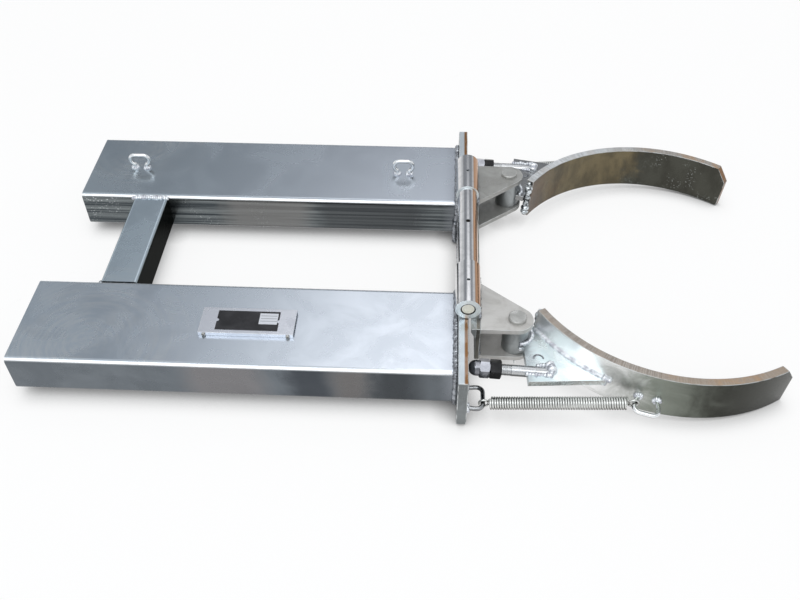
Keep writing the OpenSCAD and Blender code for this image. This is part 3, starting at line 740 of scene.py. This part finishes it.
def onCircle(centre, radius, degrees, z):
    angle = math.radians(degrees)
    return Vector((centre[0] + radius * math.cos(angle), centre[1] + radius * math.sin(angle), z))


def arc(centre, radius, start, stop, steps, z):
    return [onCircle(centre, radius, start + (stop - start) * i / steps, z) for i in range(steps + 1)]


def roundedFrame(x, y, z, halfY, halfZ, corner, steps=5):
    points = []
    for sy, sz, turn in ((1, 1, 0), (-1, 1, 90), (-1, -1, 180), (1, -1, 270)):
        for i in range(steps + 1):
            a = math.radians(turn + 90 * i / steps)
            points.append(Vector((x, y + sy * (halfY - corner) + corner * math.cos(a),
                                  z + sz * (halfZ - corner) + corner * math.sin(a))))
    return points


pitchMatrix = (Matrix.Translation((lifter["pivotX"], 0, 0))
               @ Matrix.Rotation(math.radians(lifter["armPitch"]), 4, "Y")
               @ Matrix.Translation((-lifter["pivotX"], 0, 0)))


def mirrored(points, side):
    return [Vector((p[0], side * p[1], p[2])) for p in points]


def armPoints(points, side):
    return mirrored([pitchMatrix @ Vector(p) for p in points], side)


# lashing loops and spring loops: sizes are width, width at the feet and depth
loopSizes = {"bar": 0.008, "bend": 0.011, "lashingBend": 0.0025, "sink": 0.002, "low": 0.008, "steps": 10,
             "flare": 0.0005, "ankle": 0.003, "waist": 0.50,
             "lashing": (0.048, 0.025, 0.036), "anchor": (0.055, 0.043, 0.032), "arm": (0.049, 0.031, 0.040),
             "lashingRear": 0.103, "lashingFront": 0.117, "lashingIn": 0.004, "anchorIn": 0.038, "anchorZ": 0.012,
             "armZ": 0.045, "armAngle": 103.6, "armSink": 0.0008,
             "foot": 0.0048, "footSteps": 14, "footLift": 0.0006, "bendSteps": 8, "sides": 20,
             "bead": bead(0.0030, 0.0078, 11, 0.40, weldPale)}


# stirrup with half-round sides that turn in above the feet
def lashingPath(width, base, depth):
    top, low, steps = depth - loopSizes["bar"] / 2, loopSizes["low"], loopSizes["steps"]
    bow = (top - low) / 2
    centre = (width - loopSizes["bar"]) / 2 - bow
    turnIn = math.acos((base / 2 - centre) / bow)
    bend = [-turnIn + (math.pi / 2 + turnIn) * i / steps for i in range(steps + 1)]
    right = [Vector((base / 2, 0, -loopSizes["sink"]))]
    right += [Vector((centre + bow * math.cos(a), 0, low + bow + bow * math.sin(a))) for a in bend]
    return [Vector((-p.x, 0, p.z)) for p in right] + right[::-1]


def loopPath(width, base, depth):
    top, half, foot = depth - loopSizes["bar"] / 2, (width - loopSizes["bar"]) / 2, base / 2
    right = ((foot, -loopSizes["sink"]), (foot + loopSizes["flare"], loopSizes["ankle"]),
             (half, top * loopSizes["waist"]), (half, top))
    return [Vector((-x, 0, z)) for x, z in right] + [Vector((x, 0, z)) for x, z in right[::-1]]


def makeLoop(name, kind, matrix, side, body, node, material=barBright):
    width, base, depth = loopSizes[kind]
    route, bend = (lashingPath, "lashingBend") if kind == "lashing" else (loopPath, "bend")
    path = mirrored([matrix @ p for p in route(width, base, depth)], side)
    values = {"Bar": loopSizes["bar"], "Bend": loopSizes[bend], "Bend Steps": loopSizes["bendSteps"],
              "Sides": loopSizes["sides"], "Material": material}
    settle(growNodes(name, pathMesh(name, [path]), barTree, values), body, "bright_zinc", node)
    ring = ringPoints(loopSizes["foot"], loopSizes["footSteps"], loopSizes["footLift"])
    feet = [mirrored([matrix @ (p + Vector((foot, 0, 0))) for p in ring], side) for foot in (-base / 2, base / 2)]
    weld(name + "_weld", body, feet, loopSizes["bead"], closed=True)


def makeLoops():
    places = {"lashing_loop_rear": loopSizes["lashingRear"],
              "lashing_loop_front": lifter["pocketLength"] - loopSizes["lashingFront"]}
    for name, x in places.items():
        place = Matrix.Translation((x, lifter["pocketHalfPitch"] - loopSizes["lashingIn"], lifter["pocketHeight"]))
        makeLoop(name + "_bar", "lashing", place, 1, "chassis", name)
    standOut = Matrix.Rotation(math.radians(90), 4, "Y") @ Matrix.Rotation(math.radians(90), 4, "Z")
    for name, side in sides.items():
        at = (lifter["plateFront"], lifter["plateHalf"] - loopSizes["anchorIn"], loopSizes["anchorZ"])
        makeLoop(name + "_spring_anchor_bar", "anchor", Matrix.Translation(at) @ standOut, side, "chassis",
                 name + "_spring_anchor", shadedAnchorBar)
        place = (pitchMatrix @ Matrix.Translation((lifter["arcX"], lifter["arcY"], loopSizes["armZ"]))
                 @ Matrix.Rotation(math.radians(loopSizes["armAngle"]), 4, "Z")
                 @ Matrix.Translation((lifter["bandOut"] - loopSizes["armSink"], 0, 0)) @ standOut)
        makeLoop(name + "_arm_loop_bar", "arm", place, side, name + "_arm", name + "_arm_loop")


# stop studs: plain shank, short rolled thread next to the lock nut
studSizes = {"diameter": 0.020, "core": 0.0186, "threadPitch": 0.0025, "threadFrom": 0.8285, "threadTo": 0.8710,
             "runOut": 0.0008, "chamfer": 0.001, "wire": 0.0016, "wireIn": 0.0007, "wireSides": 6, "steps": 28}


def makeStud(name, side):
    turn = Matrix.Rotation(math.radians(90), 4, "Y")
    place = pitchMatrix @ Matrix.Translation((0, lifter["studY"], lifter["studZ"])) @ turn
    flip = Matrix.Diagonal((1, side, 1, 1))
    start, stop, end = studSizes["threadFrom"], studSizes["threadTo"], lifter["studEnd"]
    core, full, chamfer = studSizes["core"] / 2, studSizes["diameter"] / 2, studSizes["chamfer"]
    profile = [(start, 0), (start, core), (stop, core), (stop + studSizes["runOut"], full), (end - chamfer, full),
               (end, full - chamfer), (end, 0)]
    shank = addObject(name + "_stop_stud_shank", turned(name + "_stop_stud_shank", profile, flip @ place))
    if side < 0:
        shank.data.flip_normals()
    setMaterial(shank, studSteel)
    weighted(shank)
    settle(shank, name + "_arm", "bright_zinc", name + "_stop_stud")
    length = stop - start
    values = {"Turns": length / studSizes["threadPitch"], "Mean Radius": full - studSizes["wireIn"], "Length": length,
              "Wire": studSizes["wire"], "Wire Sides": studSizes["wireSides"], "Steps": studSizes["steps"],
              "Material": studSteel}
    thread = growNodes(name + "_stud_thread", bpy.data.meshes.new("thread"), coilTree, values,
                       flip @ place @ Matrix.Translation((0, 0, start)))
    settle(thread, name + "_arm", "bright_zinc")


# springs: wound wire with a hook bent out at each end; the neck runs from the coil to the hook
springSizes = {"rear": (0.828, 0.3305, 0.012), "front": (1.083826, 0.335632, 0.032301), "outside": 0.0235,
               "wire": 0.0038, "turns": 54.0, "wireSides": 8, "steps": 20, "hook": 0.008, "set": 0.0013, "neck": 0.003,
               "neckIn": 0.0006, "neckOut": 0.0012, "neckDrop": 0.8, "hookArc": (20, 320, 26),
               "hookBend": 0.002, "hookSteps": 3, "hookSides": 10}


def makeSpring(name, side):
    rear, front = mirrored((springSizes["rear"], springSizes["front"]), side)
    run = (front - rear).normalized()
    across = run.cross(Vector((0, 0, 1))).normalized()
    upward = across.cross(run)
    wireWidth, hook = springSizes["wire"], springSizes["hook"]
    mean = (springSizes["outside"] - wireWidth) / 2
    start = springSizes["set"] + hook + springSizes["neck"]
    lay = Matrix((upward, across * -1, run)).transposed().to_4x4()
    lay.translation = rear + run * start
    values = {"Turns": springSizes["turns"], "Mean Radius": mean, "Length": (front - rear).length - 2 * start,
              "Wire": wireWidth, "Wire Sides": springSizes["wireSides"], "Steps": springSizes["steps"],
              "Material": springWire}
    coil = growNodes(name + "_spring_winding", bpy.data.meshes.new("winding"), coilTree, values, lay)
    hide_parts(name + "_spring_coil")
    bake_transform(coil)
    first, sweep, steps = springSizes["hookArc"]
    turns = [math.radians(first + sweep * i / steps) for i in range(steps + 1)]
    values = {"Bar": wireWidth, "Bend": springSizes["hookBend"], "Bend Steps": springSizes["hookSteps"],
              "Sides": springSizes["hookSides"], "Material": springWire}
    ends = (("rear", rear, run, name + "_spring"), ("front", front, run * -1, name + "_spring_end"))
    for label, root, way, body in ends:
        centre = root + way * springSizes["set"]
        ring = [centre + way * (hook * math.cos(a)) + upward * (hook * math.sin(a)) for a in turns]
        neck = [root + way * (start + springSizes["neckIn"]) + upward * mean,
                root + way * (start - springSizes["neckOut"]) + upward * (mean * springSizes["neckDrop"])]
        piece = growNodes("%s_spring_%s_eye" % (name, label), pathMesh("eye", [neck + ring]), barTree, values)
        settle(piece, body, "spring_steel", "%s_spring_%s_hook" % (name, label))


# data plate screws: button heads with a hexagon socket; the profile is in shares of height and radius
screwSizes = {"head": 0.007, "height": 0.003, "socket": 0.0019, "depth": 0.0016, "at": (0.335, 0.484), "y": -0.2545,
              "z": 0.0838, "profile": ((0, 0), (0, 1), (0.55, 1), (0.85, 0.84), (1, 0.62)), "steps": 24}


def extrudeRim(work):
    rim = [e for e in work.edges if e.is_boundary]
    made = bmesh.ops.extrude_edge_only(work, edges=rim)["geom"]
    return [v for v in made if isinstance(v, bmesh.types.BMVert)]


def makeScrews():
    half, high = screwSizes["head"] / 2, screwSizes["height"]
    profile = [(high * along, half * out) for along, out in screwSizes["profile"]]
    shape = turned("screwHead", profile, Matrix.Identity(4), screwSizes["steps"])
    work = bmesh.new()
    work.from_mesh(shape)
    for v in extrudeRim(work):
        angle = math.atan2(v.co.y, v.co.x)
        flat = screwSizes["socket"] / math.cos((angle + math.pi / 6) % (math.pi / 3) - math.pi / 6)
        v.co = (flat * math.cos(angle), flat * math.sin(angle), high)
    for v in extrudeRim(work):
        v.co.z = high - screwSizes["depth"]
    bmesh.ops.contextual_create(work, geom=[e for e in work.edges if e.is_boundary])
    bmesh.ops.recalc_face_normals(work, faces=work.faces)
    work.to_mesh(shape)
    work.free()
    shape.transform(Matrix.Rotation(math.radians(90), 4, "X"))
    head = addObject("screwHead", shape)
    points = bpy.data.meshes.new("screwPlaces")
    points.from_pydata([(x, screwSizes["y"], screwSizes["z"]) for x in screwSizes["at"]], [], [])
    piece = growNodes("data_plate_screw_heads", points, buildScrewTree(), {"Head": head, "Material": pinDull})
    bpy.data.objects.remove(head)
    settle(piece, "chassis", "dull_zinc", "data_plate_screws")


# weld seams: a body, paths on the far side, the sides they are laid on, and the bead
fixedSeams = {
    "pocket_run_on_weld": (
        "chassis", [((0.7765, 0.119, 0.032), (0.7765, 0.119, 0.0), (0.7772, 0.117, -0.012))], (1,),
        bead(0.0034, 0.0120, 6, 0.12)),
    "crossbar_side_welds": ("chassis", [((0.112, 0.124, 0.012), (0.112, 0.124, 0.074))], (-1, 1),
                            bead(0.0034, 0.0070, 7)),
    "crossbar_top_weld": ("chassis", [((0.109, 0.124, 0.075), (0.142, 0.123, 0.078), (0.180, 0.124, 0.076))], (1,),
                          bead(0.0040, 0.0100, 8, 0.35, weldPale)),
    "hinge_cradle_welds": (
        "chassis", [((0.782, -0.1, 0.0958), (0.782, 0.1, 0.0958)), ((0.7825, -0.1, 0.1135), (0.7825, 0.1, 0.1135))],
        (1,), bead(0.0036, 0.0080, 9)),
    "front_frame_welds": (
        "front_frame", [((0.8197, 0.109, 0.0975), (0.8197, 0.208, 0.0975)),
                        ((0.8215, 0.121, 0.026), (0.8215, 0.2305, 0.026)),
                        ((0.8215, 0.121, 0.0845), (0.8215, 0.2305, 0.0845))], (-1, 1), bead(0.0032, 0.0065, 13)),
}
pocketEnds = {"x": 0.779, "halfY": 0.101, "halfZ": 0.041, "corner": 0.011, "bead": bead(0.0034, 0.0110, 5)}
armCentre, tubeCentre = (lifter["arcX"], lifter["arcY"]), (lifter["pivotX"], lifter["pivotHalf"])
tailFaces = (0.057, 0.045)
armSeams = {
    "tail_welds": ([arc(armCentre, 0.3115, 146.5, 117.5, 30, z) for z in tailFaces]
                   + [arc(tubeCentre, 0.0255, -35, 80, 14, z) for z in tailFaces],
                   bead(0.0024, 0.0080, 17, 0.12, weldPale)),
    "stud_welds": ([((0.898, 0.2985, 0.057), (0.916, 0.2995, 0.0575), (0.934, 0.2985, 0.057)),
                    ((0.918, 0.278, 0.057), (0.932, 0.2765, 0.058))], bead(0.0046, 0.0095, 19, 0.5, weldPale)),
    "stud_end_weld": ([((0.9385, 0.277, 0.058), (0.9415, 0.284, 0.060), (0.941, 0.293, 0.059), (0.938, 0.2985, 0.057))],
                      bead(0.0050, 0.0150, 37, 0.45, weldPale)),
    "root_welds": ([[onCircle(armCentre, 0.303, 147.85, 0.017 + 0.004 * i) for i in range(20)]],
                   bead(0.0046, 0.0135, 23, 0.45, weldSpark)),
    "tip_weld": ([arc(armCentre, 0.3125, 118.2, 116.4, 4, 0.058)], bead(0.0030, 0.0110, 31, 0.3, weldPale)),
    "tack_welds": ([arc((0.920, 0.262), 0.0085, 185, 350, 14, 0.0573)], bead(0.0018, 0.0036, 29)),
}


def makeWelds():
    ends = [roundedFrame(pocketEnds["x"], side * lifter["pocketHalfPitch"], lifter["pocketHeight"] / 2,
                         pocketEnds["halfY"], pocketEnds["halfZ"], pocketEnds["corner"]) for side in (-1, 1)]
    weld("pocket_end_welds", "chassis", ends, pocketEnds["bead"], closed=True)
    for name, (body, paths, laid, look) in fixedSeams.items():
        weld(name, body, [mirrored(path, side) for side in laid for path in paths], look)
    for name, side in sides.items():
        for label, (paths, look) in armSeams.items():
            weld("%s_%s" % (name, label), name + "_arm", [armPoints(path, side) for path in paths], look)


dress("chassis",
      ("near_fork_pocket", pocketZinc["near"], "zinc_tube", 0.0007, 2, 60),
      ("far_fork_pocket", pocketZinc["far"], "zinc_tube", 0.0007, 2, 60),
      ("rear_crossbar", barZinc, "zinc_tube", 0.0),
      ("back_plate", backZinc, "zinc_plate", 0.0016, 3),
      ("hinge_cradle", plateZinc, "zinc_plate", 0.0010),
      ("hinge_centre_tube", tubeZinc, "bright_zinc", 0.0012),
      ("hinge_pin", hingePinZinc, "dull_zinc", 0.0014, 3),
      ("data_plate_holder", holderZinc, "bright_zinc", 0.0006),
      ("data_plate", labelBlack, "black_label", 0.0002, 1))
setMaterial(nodes["hinge_grub_screw"], grubDark)
makeLoops()
makeScrews()
print("chassis dressed")
dress("front_frame", ("front_plate", frontZinc, "zinc_plate", 0.0010))
for name in sides:
    dress("front_frame",
          (name + "_knuckle", tubeZinc, "bright_zinc", 0.0012),
          (name + "_knuckle_saddle", plateZinc, "dull_zinc", 0.0008),
          (name + "_upper_clevis", clevisZinc[name], "dull_zinc", 0.0010),
          (name + "_lower_clevis", clevisZinc[name], "dull_zinc", 0.0010),
          (name + "_pivot_pin", pinDull, "dull_zinc", 0.0012))
setMaterial(nodes["pivot_washers"], pinDull)
setMaterial(nodes["split_pins"], barBright)
print("front frame dressed")
for name, side in sides.items():
    dress(name + "_arm",
          (name + "_arm_band", bandZinc[name], "zinc_band", 0.0012),
          (name + "_tail_plate", tailZinc[name], "zinc_band", 0.0010),
          (name + "_pivot_tube", plateZinc, "zinc_plate", 0.0008),
          (name + "_lock_nut", nutBlack, "black_steel", 0.0006),
          (name + "_dome_nut", domeChrome, "bright_zinc", 0.0006))
    makeStud(name, side)
for name, side in sides.items():
    makeSpring(name, side)
print("arms and springs dressed")
makeWelds()
print("welds laid")


# floor, light and camera; the sky is painted by the parts of a direction
studio = {"floorSize": 80.0, "floorGap": 0.0005, "floorTone": 0.86, "floorRough": 0.9, "whiteShare": 0.84,
          "contact": 0.045, "contactShadowTone": 0.02, "contactSamples": 12, "window": (0.05, 0.555, 0.83)}
skyTones = {
    "horizon": (1.0, 1.0, 1.0), "plain": (0.74, 0.76, 0.78), "wallLow": (0.24, 0.25, 0.26),
    "wallHigh": (0.33, 0.35, 0.38), "windowGlow": (1.54, 1.56, 1.60), "strip": (2.4, 2.45, 2.5),
    "wall": ["wallLow", ("wallHigh", ("up", 0.1, 0.8)), ("windowGlow", ("window", 0.925, 1.0))],
    "sky": ["plain", ("wall", ("north", 0.30, 0.55), ("breadth", 0.36, 0.56, 1.0, 0.0)),
            ("strip", ("up", 0.70, 0.80), ("north", -0.35, -0.15, 1.0, 0.0)),
            ("horizon", ("up", 0.06, 0.24, 1.0, 0.0))],
}


def buildFloor():
    level = cadBox[0][2] - studio["floorGap"]
    half = studio["floorSize"] / 2
    mesh = bpy.data.meshes.new("studioFloor")
    corners = [(x * half, y * half, level) for x, y in ((-1, -1), (1, -1), (1, 1), (-1, 1))]
    mesh.from_pydata(corners, [], [(0, 1, 2, 3)])
    floor = addObject("studioFloor", mesh)
    tone = (studio["floorTone"],) * 3
    material, tree, shader = newMaterial("floorPale", 0.0, tone)
    feed(tree, shader, {"Base Color": tone + (1.0,), "Roughness": studio["floorRough"]})
    # ambient occlusion darkens the white floor near the object: a painted contact shadow
    contactShadow = addNode(tree, "ShaderNodeAmbientOcclusion", {"Distance": studio["contact"]},
                    samples=studio["contactSamples"]).outputs["AO"]
    glow = addNode(tree, "ShaderNodeEmission", {"Strength": ramp(tree, contactShadow, 0.0, 1.0, studio["contactShadowTone"], 1.0)})
    seen = addNode(tree, "ShaderNodeLightPath").outputs
    either = math2(tree, "MAXIMUM", seen["Is Camera Ray"], seen["Is Glossy Ray"])
    either = math2(tree, "MAXIMUM", either, seen["Is Transmission Ray"])
    mix = addNode(tree, "ShaderNodeMixShader", {0: times(tree, either, studio["whiteShare"]), 1: shader.outputs[0],
                                                2: glow.outputs[0]})
    feed(tree, tree.nodes["Material Output"], {"Surface": mix.outputs[0]})
    setMaterial(floor, material)


def buildWorld():
    world = bpy.data.worlds.new("studioSky")
    scene.world = world
    world.use_nodes = True
    tree = world.node_tree
    direction = textureSpace(tree, "Generated")
    found = dict(zip(("east", "north", "up"), split(tree, direction)))
    found["breadth"] = math2(tree, "ABSOLUTE", found["east"])
    found["window"] = vectorMath(tree, "DOT_PRODUCT", direction, studio["window"])["Value"]
    feed(tree, tree.nodes["Background"], {"Color": paint(tree, skyTones, found, "sky")})


lamps = {
    "overheadStrip": {"at": (0.95, -0.15, 2.3), "aim": (0.95, -0.15, 0.0), "size": (0.55, 1.9), "power": 6.0,
                      "tint": (1.0, 1.0, 1.0)},
    "frontFill": {"at": (-0.4, -2.6, 2.1), "aim": (0.6, 0.0, 0.0), "size": (2.0, 2.0), "power": 14.0,
                  "tint": (0.95, 0.98, 1.0)},
}


def aimed(values):
    return (Vector(values["aim"]) - Vector(values["at"])).to_track_quat("-Z", "Y")


def buildLamps():
    for name, values in lamps.items():
        data = bpy.data.lights.new(name, "AREA")
        data.shape = "RECTANGLE"
        data.size, data.size_y = values["size"]
        data.energy = values["power"]
        data.color = values["tint"]
        lamp = addObject(name, data)
        lamp.location = values["at"]
        lamp.rotation_euler = aimed(values).to_euler()


view = {"at": (0.74129, -1.28512, 1.23675), "aim": (0.67150, -0.07520, 0.0), "roll": -0.648, "lens": 39.96,
        "sensor": 36.0}


def buildCamera():
    data = bpy.data.cameras.new("photoView")
    data.sensor_fit = "HORIZONTAL"
    data.sensor_width = view["sensor"]
    data.lens = view["lens"]
    camera = addObject("photoView", data)
    roll = Matrix.Rotation(math.radians(view["roll"]), 4, "Z")
    camera.matrix_world = Matrix.Translation(view["at"]) @ aimed(view).to_matrix().to_4x4() @ roll
    scene.camera = camera


buildFloor()
buildWorld()
buildLamps()
buildCamera()
scene.view_settings.view_transform = "Standard"
print("studio ready")
